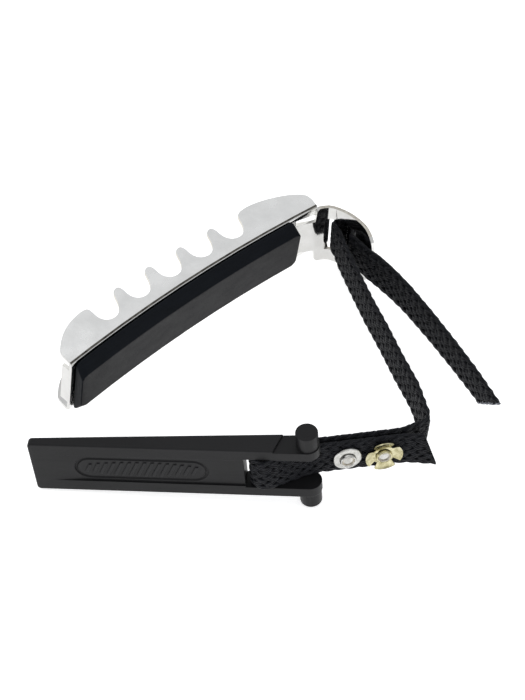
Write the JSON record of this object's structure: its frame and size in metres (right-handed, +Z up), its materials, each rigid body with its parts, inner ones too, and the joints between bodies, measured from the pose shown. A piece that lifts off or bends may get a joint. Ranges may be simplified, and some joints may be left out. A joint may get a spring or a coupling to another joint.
{
  "type": "guitar capo",
  "caption": "Toggle guitar capo: notched steel channel bar with rubber string pad, woven strap through its hook, and a forked lever on a riveted strap loop.",
  "frame": {"origin": "middle of the capo's footprint on the table, at table height", "axes": "+Z up from the table; the lever lies nearly along X with its tip towards -X; the bar crosses behind it from left to right; +Y is behind the lever"},
  "size_m": [0.101, 0.079, 0.0245],
  "materials": {
    "nickel_steel": "bright nickel plate on stamped steel, sheared edges a little warmer",
    "pad_rubber": "matt black rubber with a fine grain",
    "strap_webbing": "coarse black nylon webbing with scalloped edges",
    "lever_plastic": "black moulded nylon, satin with a fine texture",
    "pin_steel": "plain drawn steel",
    "silver_rivet": "bright plated rivet metal",
    "pale_brass": "pale plated brass, worn towards silver on its high spots"
  },
  "bodies": {
    "bar": {"clamp_bar": "nickel_steel", "string_pad": "pad_rubber", "strap_hook_wrap": "strap_webbing"},
    "tail": {"strap_tail": "strap_webbing"},
    "run": {"strap_run": "strap_webbing"},
    "lap": {"strap_fold": "strap_webbing", "strap_lap_back": "strap_webbing", "strap_lap_front": "strap_webbing", "strap_loop": "strap_webbing", "round_rivet": "silver_rivet", "round_washer_front": "silver_rivet", "round_washer_back": "silver_rivet", "lobed_rivet": "silver_rivet", "lobed_washer_front": "pale_brass", "lobed_washer_back": "silver_rivet"},
    "lever": {"toggle_lever": "lever_plastic", "strap_pin": "pin_steel"}
  },
  "joints": [
    {"name": "strap_swing", "type": "hinge", "parent": "bar", "child": "run", "pos_m": [0.01665, 0.03191, 0.00928], "axis": [0, 0, 1], "range_deg": [-1, 6]},
    {"name": "strap_fold_hinge", "type": "hinge", "parent": "run", "child": "lap", "pos_m": [0.03376, -0.02407, 0.0099], "axis": [0.0349, 0.0263, 0.999], "range_deg": [-1.5, 85]},
    {"name": "lever_pivot", "type": "hinge", "parent": "lap", "child": "lever", "pos_m": [0.00039, -0.03582, 0.01084], "axis": [-0.0651, 0.0059, 0.9979], "range_deg": [-3, 125]},
    {"name": "tail_flex", "type": "hinge", "parent": "bar", "child": "tail", "pos_m": [0.02442, 0.02521, 0.00842], "axis": [0.1219, 0, 0.9925], "range_deg": [0, 50]}
  ]
}
